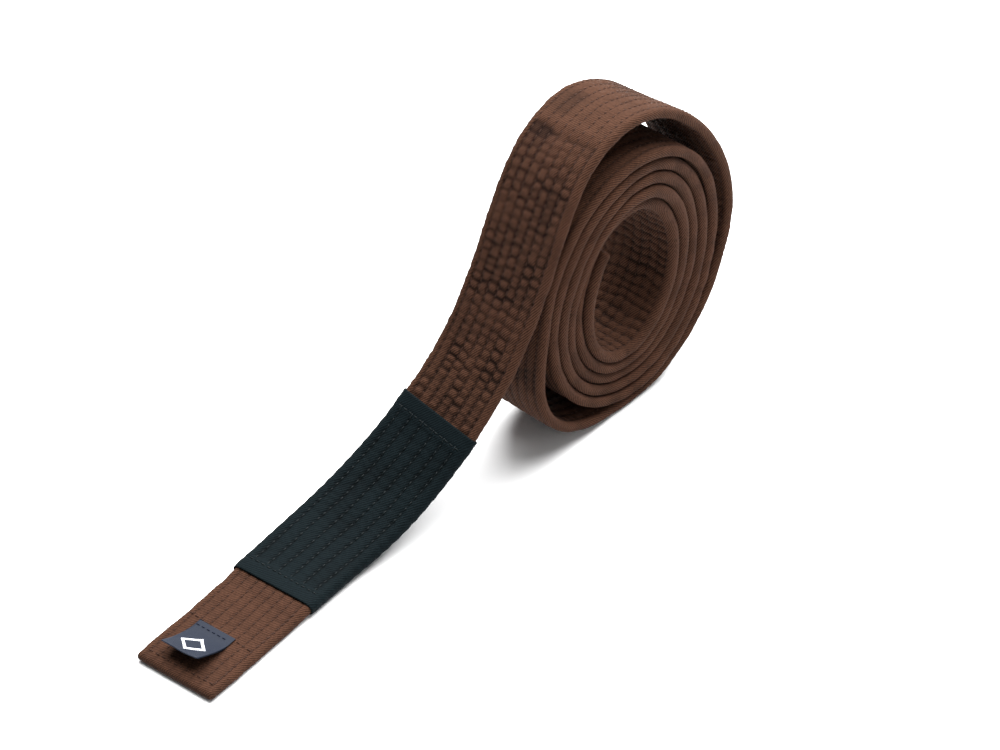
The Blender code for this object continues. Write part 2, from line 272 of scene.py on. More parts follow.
# %% Smooth random curves and surfaces
ROW_COUNT = 8
ROW_PITCH = 0.0047
ROWS = (np.arange(ROW_COUNT) - (ROW_COUNT - 1) / 2) * ROW_PITCH
PUCKER_LENGTH = 0.0047
WRINKLE_LENGTH = 0.0047


def smooth_step(t):
    """0 to 1 without a corner at either end."""
    t = np.clip(t, 0, 1)
    return t * t * (3 - 2 * t)


def random_curve(length, seed):
    """A smooth random curve from -1 to 1 that changes over about that length, as a function of s."""
    table = np.random.default_rng(seed).uniform(-1, 1, int(LENGTH / length) + 8)

    def curve(s):
        place = np.clip(np.asarray(s) / length, 0, len(table) - 3)
        cell = place.astype(int)
        t = smooth_step(place - cell)
        return table[cell] * (1 - t) + table[cell + 1] * t

    return curve


def random_surface(length, width, seed):
    """The same over the strap's face: it changes over length along it and width across it."""
    rows = [random_curve(length, seed + i) for i in range(int(2 * HALF_WIDTH / width) + 6)]

    def surface(s, u):
        place = np.clip((u + HALF_WIDTH) / width + 1, 0, len(rows) - 2)
        cell = place.astype(int)
        t = smooth_step(place - cell)
        made = np.stack([row(s) for row in rows])
        columns = np.arange(s.shape[0])[:, None]
        made = made.reshape(len(rows), -1)
        low = made[cell, columns]
        return low * (1 - t) + made[cell + 1, columns] * t

    return surface


channel_phase = [np.cumsum(random.uniform(-0.32, 0.32, ROW_COUNT + 1)) for _ in range(2)]


def channel_curves(length, seed):
    """One random curve for each channel of each face."""
    return [[random_curve(length, seed + 20 * side + c) for c in range(ROW_COUNT + 1)] for side in range(2)]


channel_drift = channel_curves(0.009, 100)
channel_size = channel_curves(0.013, 200)
lumps = [random_surface(0.011, 0.010, 300 + 20 * side) for side in range(2)]
wrinkle_bend = [random_surface(0.010, 0.007, 400 + 20 * side) for side in range(2)]
row_wobble = [random_curve(0.008, 500 + k) for k in range(ROW_COUNT)]
edge_swell = [random_curve(0.006, 600 + side) for side in range(2)]
print("rows of stitching at", (ROWS * 1000).round(1), "mm")

# %% [markdown]
# How strong each effect is changes along the strap. The outer face is stretched smooth over the top
# of the loop and puckers again below the shoulder; the inner face gathers inside the roll. The tip
# is folded in and stitched flat.

# %% How strong the quilting is along each face
LOOP_TOP = free_s(LOOP_CREST)
S_SHOULDER = free_s(SHOULDER)
S_BAR_TOP = free_s(BAR_TOP)
S_BAR_FOOT = free_s(BAR_FOOT)
FIRST_TURN = coil_s(560)


def stops(s, *pairs):
    """Straight lines through (distance, value) pairs."""
    return np.interp(s, [p[0] for p in pairs], [p[1] for p in pairs])


def outer_strengths(s):
    """(pucker height, groove depth, wrinkle height) of the outer face, in metres."""
    pucker = stops(
        s, (0, 0.0002), (COIL_END, 0.0003), (LOOP_TOP - 0.02, 0.0002), (LOOP_TOP, 0.00005),
        (S_SHOULDER - 0.006, 0.00008), (S_SHOULDER + 0.014, 0.0008), (S_BAR_TOP, 0.00095),
        (S_BAR_TOP + 0.004, 0.0001), (S_BAR_FOOT, 0.00018), (LENGTH, 0.00012),
    )
    groove = stops(
        s, (0, 0.0003), (COIL_END, 0.0004), (LOOP_TOP, 0.00022), (S_SHOULDER, 0.0002),
        (S_SHOULDER + 0.012, 0.0005), (S_BAR_TOP, 0.00055), (S_BAR_FOOT, 0.0002), (LENGTH, 0.00016),
    )
    wrinkle = stops(
        s, (COIL_END, 0.00005), (S_SHOULDER, 0.00005), (S_SHOULDER + 0.02, 0.00035),
        (S_BAR_TOP, 0.0005), (S_BAR_TOP + 0.005, 0.00005), (LENGTH, 0.00003),
    )
    return pucker, groove, wrinkle


def inner_strengths(s):
    """The same of the inner face, which gathers in the hole of the roll and under the loop."""
    pucker = stops(
        s, (0, 0.0003), (COIL_END, 0.0004), (S_BAR_TOP, 0.0005), (S_BAR_FOOT, 0.0002), (LENGTH, 0.0001)
    )
    groove = stops(s, (0, 0.0004), (S_BAR_TOP, 0.0004), (S_BAR_FOOT, 0.0002), (LENGTH, 0.00015))
    wrinkle = stops(
        s, (0, 0.0002), (0.03, 0.0010), (FIRST_TURN, 0.0009), (FIRST_TURN + 0.03, 0.0001),
        (COIL_END, 0.0003), (LOOP_TOP, 0.0005), (S_SHOULDER, 0.0003), (S_BAR_TOP, 0.0002),
        (S_BAR_FOOT, 0.00005),
    )
    return pucker, groove, wrinkle


def strengths(s, side):
    """(pucker, groove, wrinkle, lump) of a face. Side 0 is the outer face. The rank bar flattens all."""
    pucker, groove, wrinkle = outer_strengths(s) if side == 0 else inner_strengths(s)
    lump = stops(
        s, (0, 0.0002), (LOOP_TOP, 0.0003), (S_BAR_TOP, 0.0003), (S_BAR_FOOT, 0.00012), (LENGTH, 0.0001)
    )
    under = 1.0
    if s.max() > S_BAR_TOP:
        under = stops(
            s, (S_BAR_TOP - 0.001, 1.0), (S_BAR_TOP + 0.004, 0.2), (S_BAR_FOOT - 0.004, 0.2),
            (S_BAR_FOOT + 0.001, 1.0),
        )
    return pucker * under, groove * under, wrinkle * under, lump * under


print("pucker height on the tail:", strengths(np.array([[S_SHOULDER + 0.05]]), 0)[0].round(5))


# %% The relief of one face
ROW_WOBBLE = 0.00025
GROOVE_HALF_WIDTH = 0.00075


def relief(s, u, side):
    """How far a face of the cover stands out from flat at distances s along and u across, in metres."""
    pucker, groove_depth, wrinkle, lump = strengths(s, side)
    nearest = np.full(u.shape, 1.0)
    for k in range(ROW_COUNT):
        place = ROWS[k] + ROW_WOBBLE * row_wobble[k](s)
        nearest = np.minimum(nearest, np.abs(u - place))
    groove = np.exp(-((nearest / GROOVE_HALF_WIDTH) ** 2))
    channel = np.searchsorted(ROWS, u)
    cushion = np.zeros(u.shape)
    for c in range(ROW_COUNT + 1):
        phase = channel_phase[side][c] + 0.35 * channel_drift[side][c](s)
        wave = np.abs(np.sin(math.pi * (s / PUCKER_LENGTH + phase))) ** 0.8
        wave = (wave - 0.7) * (0.75 + 0.35 * channel_size[side][c](s))
        cushion = np.where(channel == c, wave, cushion)
    bend = 0.45 * wrinkle_bend[side](s, u)
    fold = np.abs(np.sin(math.pi * (s / WRINKLE_LENGTH + bend))) ** 0.8 - 0.65
    height = pucker * cushion * (1 - groove) - groove_depth * groove
    height = height + wrinkle * fold * (1 - 0.4 * groove) + lump * lumps[side](s, u)
    if side == 0:
        height = height + crease(s, u)
    return height


S_KINK = free_s(LOOP_FRONT) + 0.004


def dent(s, middle, half_length):
    """1 at the middle of a fold across the strap, falling smoothly to 0 on both sides."""
    return np.exp(-(((s - middle) / half_length) ** 2))


def crease(s, u):
    """The fold across the shoulder, and the kink in the loop's near edge."""
    shoulder = -0.0003 * dent(s, S_SHOULDER + 0.001, 0.003)
    ridge = 0.0004 * dent(s, S_SHOULDER - 0.003, 0.003)
    kink = -0.0012 * dent(s, S_KINK, 0.0012) * smooth_step((u - 0.006) / 0.012)
    return shoulder + ridge + kink


sample_s = np.arange(S_SHOULDER + 0.02, S_BAR_TOP, 0.0005)[:, None]
sample = relief(sample_s, np.linspace(-0.017, 0.017, 120)[None, :], 0)
print(f"relief on the tail {sample.min() * 1000:.2f} to {sample.max() * 1000:.2f} mm")

# %% [markdown]
# ## The cover's skin
# The cross-section is a flat strap with full, round edges. It is swept along the middle line as one
# grid of rings, and each point is pushed out by the relief of its face. The edges get small swells
# where the cover is gathered round them. One grid for the whole strap means that the separate
# lengths cut from it meet exactly, with the same normals on both sides of a cut.

# %% The cross-section, and the grid of rings
TOP_POINTS = 72
INNER_POINTS = 56
EDGE_POINTS = 11
END_ROUND = 0.0022  # the length over which each end of the strap is rounded off
FACE_FADE = 0.0012  # the width over which a face's relief dies away towards its edge


def section(half_width, half, top_points, inner_points):
    """Points round a strap's section: across, up, and the outward normal across and up."""
    flat = half_width - half
    edge = np.radians(np.linspace(90, -90, EDGE_POINTS + 2)[1:-1])
    top, inner = np.linspace(-1, 1, top_points), np.linspace(1, -1, inner_points)
    normal_u = np.concatenate([np.zeros(top_points), np.cos(edge), np.zeros(inner_points), -np.cos(edge)])
    normal_v = np.concatenate([np.ones(top_points), np.sin(edge), -np.ones(inner_points), -np.sin(edge)])
    level = np.concatenate([top, np.ones(EDGE_POINTS), inner, -np.ones(EDGE_POINTS)])
    every_ring = np.ones_like(half)
    return flat * level + half * normal_u, half * normal_v, normal_u * every_ring, normal_v * every_ring


def ring_places():
    """Distances along the strap at which the skin has a ring: close together where it is seen."""
    spans = [
        (0, coil_s(500), 0.0009),
        (coil_s(500), coil_s(1700), 0.0032),
        (coil_s(1700), coil_s(2060), 0.0012),
        (coil_s(2060), LENGTH - END_ROUND, 0.00062),
    ]
    middles = [free_s(place) for place in (LOOP_MIDDLE, UPPER_MIDDLE, LOWER_MIDDLE, BAR_MIDDLE)]
    places = [np.arange(start, end, step) for start, end, step in spans]
    places = np.concatenate(places + [[LENGTH - END_ROUND]])
    for cut in [INNER_CUT, ROLL_CUT, *middles]:
        places[np.abs(places - cut).argmin()] = cut
    start_round = END_ROUND * (1 - np.cos(np.radians(np.arange(0, 90, 15))))
    end_round = LENGTH - END_ROUND + END_ROUND * np.sin(np.radians(np.arange(15, 91, 15)))
    return np.concatenate([start_round, places[places > END_ROUND], end_round])


INNER_CUT = coil_s(255)
ROLL_CUT = coil_s(2000)
rings = ring_places()
print("rings:", len(rings))



# %% Push the section out by its relief
def face_columns(top_points):
    """The points of a section that lie on its outer face, and those on its inner face."""
    return slice(0, top_points), slice(top_points + EDGE_POINTS, -EDGE_POINTS)


ring_s = rings[:, None]
from_end = np.minimum(rings, LENGTH - rings)
end_share = np.sqrt(np.clip(1 - (1 - np.clip(from_end / END_ROUND, 0, 1)) ** 2, 0, 1))
half = (half_thickness(rings) * (0.3 + 0.7 * end_share))[:, None]
WIDTH_SWELL = 0.00025
CORNER_ROUND = 0.0012
half_width = HALF_WIDTH + WIDTH_SWELL * random_curve(0.022, 700)(rings)
half_width = (half_width - CORNER_ROUND * (1 - end_share))[:, None]
u, v, normal_u, normal_v = section(half_width, half, TOP_POINTS, INNER_POINTS)
push = np.zeros(u.shape)
flat = half_width - half
flat_fade = smooth_step((flat - np.abs(u)) / FACE_FADE)
for side, columns in enumerate(face_columns(TOP_POINTS)):
    push[:, columns] = relief(ring_s, u[:, columns], side) * flat_fade[:, columns]
round_part = np.abs(normal_u)
gather = np.sin(2 * math.pi * (ring_s / 0.0034 + 0.2 * normal_v)) * (0.5 + 0.5 * edge_swell[1](ring_s))
swell = 0.00022 * edge_swell[0](ring_s) + 0.0001 * gather
push += round_part * np.where(u > 0, swell, swell[::-1])
push *= end_share[:, None]
middle, along, across, out = directions(rings)
skin = middle[:, None] + across[:, None] * (u + normal_u * push)[..., None]
skin = skin + out[:, None] * (v + normal_v * push)[..., None]
print("skin grid:", skin.shape[:2])

# %% [markdown]
# The cover's cloth has its own flat coordinates, in millimetres: round the strap and along it. The
# twill is drawn in them, so its diagonal runs over the edges without a break, as the one piece of
# cloth that it is. How deep each point lies is kept too, for painted shade that darkens the hollows.


# %% Turn a grid of rings into a closed mesh piece
DARKEST_DEPTH = 0.0006


def grid_normals(grid):
    """Smooth normals for a grid of rings, closed round each ring."""
    round_way = np.roll(grid, -1, axis=1) - np.roll(grid, 1, axis=1)
    return unit(np.cross(round_way, np.gradient(grid, axis=0)))


def grid_mesh(name, grid, normals, uv_round, uv_along, painted_shade, closed_along=False):
    """A closed mesh from rings of points, with UVs in mm and an attribute of painted shade for points that
    lie deep.
    """
    count, points = grid.shape[:2]
    i, j = np.meshgrid(np.arange(count if closed_along else count - 1), np.arange(points), indexing="ij")
    next_i, next_j = (i + 1) % count, (j + 1) % points
    quads = np.stack([i * points + j, i * points + next_j, next_i * points + next_j, next_i * points + j], -1)
    quads = quads.reshape(-1, 4)[:, ::-1]
    verts = grid.reshape(-1, 3)
    ends = [] if closed_along else [grid[0].mean(0), grid[-1].mean(0)]
    faces = quads.tolist()
    for end, centre in enumerate(ends):
        first = (count - 1) * points * end
        for k in range(points):
            a, b, c = first + k, first + (k + 1) % points, len(verts) + end
            faces.append([a, b, c] if end == 0 else [b, a, c])
    mesh = bpy.data.meshes.new(name)
    mesh.from_pydata(np.concatenate([verts, np.array(ends).reshape(-1, 3)]).tolist(), [], faces)
    full_round = np.concatenate([uv_round, 2 * uv_round[:, -1:] - uv_round[:, -2:-1]], 1)
    along = np.append(uv_along, 2 * uv_along[-1] - uv_along[-2])
    corners = [(i, j), (i, j + 1), (i + 1, j + 1), (i + 1, j)][::-1]
    uv = [np.stack([full_round[np.minimum(a, count - 1), b], along[a]], -1) for a, b in corners]
    uv = np.stack([c.reshape(-1, 2) for c in uv], 1).reshape(-1, 2) * 1000
    uv = np.concatenate([uv, np.zeros((len(mesh.loops) - len(uv), 2))])
    layer = mesh.uv_layers.new(name="cloth")
    layer.data.foreach_set("uv", uv.astype(np.float32).ravel())
    attribute = mesh.attributes.new("painted_shade", "FLOAT", "POINT")
    depth = np.concatenate([painted_shade.ravel(), np.zeros(len(ends))])
    attribute.data.foreach_set("value", depth.astype(np.float32))
    mesh.polygons.foreach_set("use_smooth", np.ones(len(mesh.polygons), bool))
    end_normals = np.zeros((len(ends), 3))
    if len(ends):
        centres = grid.mean(1)
        end_normals = unit(np.array([centres[0] - centres[1], centres[-1] - centres[-2]]))
    all_normals = np.concatenate([normals.reshape(-1, 3), end_normals])
    mesh.normals_split_custom_set_from_vertices(all_normals.tolist())
    made = bpy.data.objects.new(name, mesh)
    bpy.context.scene.collection.objects.link(made)
    return made


skin_normals = grid_normals(skin)
outward = np.sign(np.einsum("ijk,ijk->", skin_normals, skin - middle[:, None]))
skin_normals = skin_normals * outward
print("normals point outward:", outward)

# %% [markdown]
# ## The lengths of strap
# The strap bends at six lines in the CAD, and the label at a seventh. Every length of skin but the
# roll holds one of those lines and is cut well away from any. Each line is listed with a span of 15
# to 36 mm of cloth round it, over which a padded strap turns smoothly. The knee lies close to the
# roll, so its span starts at the line: cloth above it would dig into the roll. The spans are not
# used: a length between two bodies is left where it is, and one on a single body is attached to it.

# %% Cut the skin into lengths, and attach the one that rides on the roll
FLEX_HALF = 0.018
INNER_FLEX_HALF = 0.011
LOOP_FLEX_HALF = 0.015
KNEE_FLEX = (0.002, 0.030)
BAR_FLEX = 0.016
TIP_FLEX = 0.014
BAR_HEM_GAP = 0.0009


def length_between(name, start, end):
    """One length of the skin, from distance start to distance end."""
    first, last = np.abs(rings - start).argmin(), np.abs(rings - end).argmin()
    kept = slice(first, last + 1)
    round_steps = np.linalg.norm(np.diff(np.stack([u, v], -1)[kept], axis=1), axis=-1)
    uv_round = np.concatenate([np.zeros((last + 1 - first, 1)), np.cumsum(round_steps, axis=1)], 1)
    # Painted shade: 0 where the skin is not sunk, rising to 1 where it lies DARKEST_DEPTH deep or more.
    painted_shade = np.clip(-push[kept] / DARKEST_DEPTH, 0, 1)
    return grid_mesh(name, skin[kept], skin_normals[kept], uv_round, rings[kept], painted_shade)


def bend_between(piece, bodies, start, end):
    """Attach a piece that rides on one body; a piece between two bodies is left where it is.

    start and end are not used.
    """
    if len(bodies) == 1:
        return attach(piece, bodies[0])
    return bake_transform(piece)


def cover_nodes(length):
    """The CAD nodes of one length of strap."""
    return [f"cover_{length}", f"wadding_{length}_inner", f"wadding_{length}_outer"]


INNER_BEND = coil_s(INNER_BEND_DEG)
S_KNEE = free_s(KNEE)
CUTS = [0.0, INNER_CUT, ROLL_CUT]
CUTS += [free_s(place) for place in (LOOP_MIDDLE, UPPER_MIDDLE, LOWER_MIDDLE, BAR_MIDDLE)] + [LENGTH]
BENDS = [
    ("inner_end", ("inner_end", "roll"), INNER_BEND - INNER_FLEX_HALF, INNER_BEND + INNER_FLEX_HALF),
    ("roll", ("roll",), 0.0, 0.0),
    ("loop", ("roll", "loop"), COIL_END - LOOP_FLEX_HALF, COIL_END + LOOP_FLEX_HALF),
    ("upper_tail", ("loop", "upper_tail"), S_SHOULDER - FLEX_HALF, S_SHOULDER + FLEX_HALF),
    ("lower_tail", ("upper_tail", "lower_tail"), S_KNEE - KNEE_FLEX[0], S_KNEE + KNEE_FLEX[1]),
    ("bar", ("lower_tail", "bar"), S_BAR_TOP - BAR_FLEX, S_BAR_TOP + BAR_HEM_GAP),
    ("tip", ("bar", "tip"), S_BAR_FOOT - BAR_HEM_GAP, S_BAR_FOOT + TIP_FLEX),
]
LENGTHS = [(bend[0], start, end, *bend[1:]) for bend, start, end in zip(BENDS, CUTS, CUTS[1:])]
straps = {}
for part, start, end, *bend in LENGTHS:
    strap = length_between(f"strap_{part}", start, end)
    bend_between(strap, *bend)
    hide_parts(*cover_nodes(part))
    straps[part] = strap
    print(strap.name, len(strap.data.polygons), "faces")

# %% [markdown]
# ## Stitches
# A row of lockstitch shows as short raised dashes of thread with a gap where the thread dives into
# the cloth. Each dash here is a small bowed capsule, six-sided, laid in its groove. They are drawn
# about 2.2 mm long, and all the dashes of one length of strap are one mesh.


# %% Make a mesh of stitches from their middles and directions
STITCH_PITCH = 0.0031
STITCH_LENGTH = 0.0022
STITCH_RADIUS = 0.00026


def stitches(name, centres, ahead, sideways, up, length, radius):
    """One mesh of bowed thread dashes. Every argument but the name has one row for each dash."""
    stations = np.array([-0.5, -0.36, 0.0, 0.36, 0.5])
    girth = np.array([0.25, 0.9, 1.0, 0.9, 0.25])
    sink = np.array([-1.3, -0.25, 0.15, -0.25, -1.3])
    around = np.radians(np.arange(0, 360, 60))
    bow = zip(stations, girth, sink)
    local = np.array([(a, g * math.cos(r), g * math.sin(r) + d) for a, g, d in bow for r in around])
    length, radius = (np.broadcast_to(size, len(centres)) for size in (length, radius))
    verts = centres[:, None] + ahead[:, None] * (local[:, 0] * length[:, None])[..., None]
    verts = verts + sideways[:, None] * (local[:, 1] * radius[:, None])[..., None]
    verts = verts + up[:, None] * (local[:, 2] * radius[:, None])[..., None]
    faces = []
    for station in range(4):
        for k in range(6):
            a, b = station * 6 + k, station * 6 + (k + 1) % 6
            faces.append([a, a + 6, b + 6, b])
    faces += [list(range(6)), list(range(24, 30))[::-1]]
    all_faces = []
    for dash in range(len(centres)):
        shift = dash * len(local)
        all_faces += [[p + shift for p in face] for face in faces]
    mesh = bpy.data.meshes.new(name)
    mesh.from_pydata(verts.reshape(-1, 3).tolist(), [], all_faces)
    mesh.polygons.foreach_set("use_smooth", np.ones(len(mesh.polygons), bool))
    made = bpy.data.objects.new(name, mesh)
    bpy.context.scene.collection.objects.link(made)
    return made


def row_dashes(start, end, row, side):
    """Middles and directions of the dashes of one row on one face, between two distances."""
    s = np.arange(start, end, STITCH_PITCH) + 0.0003 * random.uniform(-1, 1)
    place = ROWS[row] + ROW_WOBBLE * row_wobble[row](s)
    centre, ahead, sideways, up = directions(s)
    facing = 1 if side == 0 else -1
    rise = half_thickness(s) + relief(s[:, None], place[:, None], side)[:, 0] + 0.0001
    centre = centre + sideways * place[:, None] + up * (facing * rise)[:, None]
    return centre, ahead, sideways, up * facing


# %% Lay the eight rows on every face that can be seen
OUTER_FROM, INNER_TO = coil_s(1770), coil_s(520)
LOOP_UNDERSIDE = 0.1  # how far back into the coil the loop's inner face can be seen
STITCHED = {
    "inner_end": (0.004, LENGTH),
    "bar": (0.0, S_BAR_TOP),
    "tip": (S_BAR_FOOT + 0.001, LENGTH - 0.006),
}


def seen_spans(part, start, end):
    """(side, start, end) of each stretch of one length whose stitches can be seen."""
    spans = [
        (0, max(start, OUTER_FROM), end),
        (1, start, min(end, INNER_TO)),
        (1, max(start, COIL_END - LOOP_UNDERSIDE), end),
    ]
    if part == "inner_end":
        spans = [(side, STITCHED[part][0], b) for side, a, b in spans]
    if part == "bar":
        spans = [(side, a, STITCHED[part][1]) for side, a, b in spans]
    if part == "tip":
        spans = [(side, *STITCHED[part]) for side, a, b in spans]
    return [(side, a, b) for side, a, b in spans if b - a > STITCH_LENGTH]


row_threads = {}
for part, start, end, *bend in LENGTHS:
    spans = seen_spans(part, start, end)
    dashes = [row_dashes(a, b, row, side) for side, a, b in spans for row in range(ROW_COUNT)]
    runs = [np.concatenate(d) for d in zip(*dashes)]
    row_thread = stitches(f"thread_{part}", *runs, STITCH_LENGTH, STITCH_RADIUS)
    bend_between(row_thread, *bend)
    row_threads[part] = row_thread
    print(row_thread.name, len(row_thread.data.vertices) // 30, "dashes")

# %% [markdown]
# The tip is closed by folding the cover in and sewing it down: a row across near the end, another
# across behind the label, and one along the edge between them. The thread is a little heavier.

# %% Stitch the tip shut
TIP_END_ROW = 0.0045
TIP_CROSS_ROW = 0.0300
TIP_EDGE_ROW = 0.0168


def face_point(s, place):
    """Points on the outer face at distances s and places across, with the directions there."""
    centre, ahead, sideways, up = directions(s)
    rise = half_thickness(s) + relief(s[:, None], place[:, None], 0)[:, 0]
    return centre + sideways * place[:, None] + up * rise[:, None], ahead, sideways, up


def tip_row(start, end):
    """Dashes along a straight row on the tip between two (distance from the end, across) places."""
    run = math.dist(start, end)
    t = np.arange(0.5, int(run / 0.0029)) / int(run / 0.0029)
    back, place = (start[k] + (end[k] - start[k]) * t for k in (0, 1))
    point, ahead, sideways, up = face_point(LENGTH - back, place)
    way = np.array([start[0] - end[0], end[1] - start[1]]) / run
    line = unit(ahead * way[0] + sideways * way[1])
    return point + up * 0.00012, line, np.cross(up, line), up


tip_rows = [
    tip_row((TIP_END_ROW, -0.0170), (TIP_END_ROW + 0.0005, 0.0172)),
    tip_row((TIP_CROSS_ROW + 0.0012, -0.0185), (TIP_CROSS_ROW - 0.0018, 0.0165)),
    tip_row((TIP_CROSS_ROW - 0.001, TIP_EDGE_ROW), (TIP_END_ROW, TIP_EDGE_ROW)),
    tip_row((0.0560, TIP_EDGE_ROW + 0.0003), (TIP_CROSS_ROW + 0.001, TIP_EDGE_ROW)),
]
tip_thread = stitches("thread_tip_fold", *(np.concatenate(d) for d in zip(*tip_rows)), 0.0023, 0.0003)
bend_between(tip_thread, ("bar", "tip"), S_BAR_FOOT - BAR_HEM_GAP, S_BAR_FOOT + 0.014)
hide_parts("tip_thread_end", "tip_thread_cross", "tip_thread_edge")
print(tip_thread.name, len(tip_thread.data.vertices) // 30, "dashes")

# %% [markdown]
# ## The rank bar
# The bar is a separate strip of black twill wrapped round the strap and sewn through it, with its
# raw ends folded under to make a hem. It is a flattened tube: an outer skin, an inner skin, and a
# rolled lip at both ends, made as one grid that closes on itself. Six rows of stitching quilt it
# lightly, and each hem is a step thicker than the rest.

# %% The sleeve of the rank bar
BAR_START, BAR_END = S_BAR_TOP + BAR_HEM_GAP, S_BAR_FOOT - BAR_HEM_GAP
BAR_ROWS = (np.arange(6) - 2.5) * 0.0062
BAR_TOP_POINTS = 84
HEM = 0.0078
bar_lumps = [random_surface(0.012, 0.011, 800 + 20 * side) for side in range(2)]
bar_bend = [random_surface(0.007, 0.005, 900 + 20 * side) for side in range(2)]
bar_wobble = [random_curve(0.010, 950 + k) for k in range(6)]


def bar_relief(s, u, side):
    """The bar's quilting and its hems at distances s along and u across."""
    nearest = np.full(u.shape, 1.0)
    for k in range(6):
        nearest = np.minimum(nearest, np.abs(u - BAR_ROWS[k] - 0.0003 * bar_wobble[k](s)))
    groove = np.exp(-((nearest / 0.0009) ** 2))
    from_hem = np.minimum(s - BAR_START, BAR_END - s)
    hem = 0.00032 * (1 - smooth_step((from_hem - HEM) / 0.0009))
    hem_row = np.exp(-(((from_hem - HEM + 0.0013) / 0.0007) ** 2))
    in_field = smooth_step((from_hem - HEM) / 0.002)
    puckers = np.abs(np.sin(math.pi * (s / 0.0046 + 0.6 * bar_bend[side](s, u)))) - 0.6
    height = hem - 0.00022 * hem_row - 0.0004 * groove * in_field + 0.00013 * puckers * in_field
    return height + 0.00022 * bar_lumps[side](s, u) * (0.4 + 0.6 * in_field)


bar_rings = np.linspace(BAR_START, BAR_END, 190)
bar_s = bar_rings[:, None]
ones = np.ones_like(bar_s)
bar_width = 0.0208 + 0.0002 * random_curve(0.015, 990)(bar_s)
bar_u, bar_v, bar_nu, bar_nv = section(bar_width, 0.00295 * ones, BAR_TOP_POINTS, 56)
bar_push = np.zeros(bar_u.shape)
for side, columns in ((0, slice(0, BAR_TOP_POINTS)), (1, slice(BAR_TOP_POINTS + EDGE_POINTS, -EDGE_POINTS))):
    face_u = bar_u[:, columns]
    fade = smooth_step((0.0179 - np.abs(face_u)) / 0.0012)
    hem_only = bar_relief(bar_s, np.full(face_u.shape, 0.02), side)
    bar_push[:, columns] = bar_relief(bar_s, face_u, side) * fade + hem_only * 0.5 * (1 - fade)
edge_share = np.abs(bar_nu) > 0
edge_push = bar_relief(bar_s, np.full((len(bar_rings), 1), 0.02), 0) * 0.5
bar_push = np.where(edge_share, edge_push + 0.0001 * np.sin(bar_s / 0.0009) * np.abs(bar_nu), bar_push)
print("bar grid:", bar_u.shape)


# %% Close the sleeve with rolled lips and an inner skin
def bar_skin(s, lift):
    """Rings of the bar at ring numbers s, lifted off the outer skin by lift metres."""
    centre, _, sideways, up = directions(bar_rings[s])
    pushed = bar_push[s] + lift
    grid = centre[:, None] + sideways[:, None] * (bar_u[s] + bar_nu[s] * pushed)[..., None]
    return grid + up[:, None] * (bar_v[s] + bar_nv[s] * pushed)[..., None]


LIP = 0.0007
BAR_WALL = 0.0006
count = len(bar_rings)
every = np.arange(count)
inside = every[::3][::-1]
lip_out = directions(np.array([BAR_START, BAR_END]))[1]
start_lip = bar_skin(np.array([0]), -LIP / 2) - lip_out[0] * LIP * 0.5
end_lip = bar_skin(np.array([count - 1]), -LIP / 2) + lip_out[1] * LIP * 0.5
inner = bar_skin(inside, -BAR_WALL)
bar_grid = np.concatenate([start_lip, bar_skin(every, 0.0), end_lip, inner])
inner_along = BAR_END + 0.001 + (BAR_END - bar_rings[inside])
bar_along = np.concatenate([[BAR_START - LIP], bar_rings, [BAR_END + LIP], inner_along])
round_steps = np.linalg.norm(np.diff(np.stack([bar_u, bar_v], -1), axis=1), axis=-1)[0]
bar_round = np.tile(np.concatenate([[0], np.cumsum(round_steps)]), (len(bar_grid), 1))
# Painted shade on the bar: its sunk grooves and hem rows are darkened in colour the same way.
bar_painted_shade = np.zeros(bar_grid.shape[:2])
bar_painted_shade[1 : count + 1] = np.clip(-bar_push / DARKEST_DEPTH, 0, 1)
bar_normals = unit(np.cross(np.roll(bar_grid, -1, 1) - np.roll(bar_grid, 1, 1),
                            np.roll(bar_grid, -1, 0) - np.roll(bar_grid, 1, 0))) * outward
rank_bar = grid_mesh("rank_bar", bar_grid, bar_normals, bar_round, bar_along, bar_painted_shade, closed_along=True)
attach(rank_bar, "bar")
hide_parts("rank_bar_sleeve")
print("rank bar:", len(rank_bar.data.polygons), "faces")

# %% [markdown]
# The bar's thread is black too, so its dashes show mostly by the light they catch and the small
# shadow at each end. The rows run on both faces, and one row crosses each hem.


# %% Stitch the bar
def bar_point(s, place, side):
    """Points on one face of the bar, with the directions there."""
    centre, ahead, sideways, up = directions(s)
    facing = 1 if side == 0 else -1
    rise = 0.00295 + bar_relief(s[:, None], place[:, None], side)[:, 0] + 0.00012
    return centre + sideways * place[:, None] + up * (facing * rise)[:, None], ahead, sideways, up * facing


bar_dashes = []
for side in range(2):
    for k in range(6):
        s = np.arange(BAR_START + HEM - 0.001, BAR_END - HEM + 0.001, 0.0033) + 0.0005 * random.uniform()
        bar_dashes.append(bar_point(s, BAR_ROWS[k] + 0.0003 * bar_wobble[k](s), side))
    for hem_row in (BAR_START + HEM - 0.0013, BAR_END - HEM + 0.0013):
        place = np.arange(-0.0165, 0.0166, 0.003)
        point, ahead, sideways, up = bar_point(np.full(len(place), hem_row), place, side)
        bar_dashes.append((point, sideways, ahead, up))
bar_thread = stitches("rank_bar_stitching", *(np.concatenate(d) for d in zip(*bar_dashes)), 0.0024, 0.0003)
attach(bar_thread, "bar")
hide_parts(*[f"rank_bar_thread_{k}" for k in range(1, 7)])
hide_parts("rank_bar_hem_thread_top", "rank_bar_hem_thread_foot")
print("rank bar dashes:", len(bar_thread.data.vertices) // 30)

# %% [markdown]
# ## The label
# The label is a short piece of woven tape folded in two. Its base is sewn to the tip with one row
# and the folded part stands up from it and curls, because the tape is stiff and was pressed in the
# packet. It is one strip that runs up over the base, along the top leaf, round the fold, and back
# along the under leaf. It lifts about the line where it leaves the base.

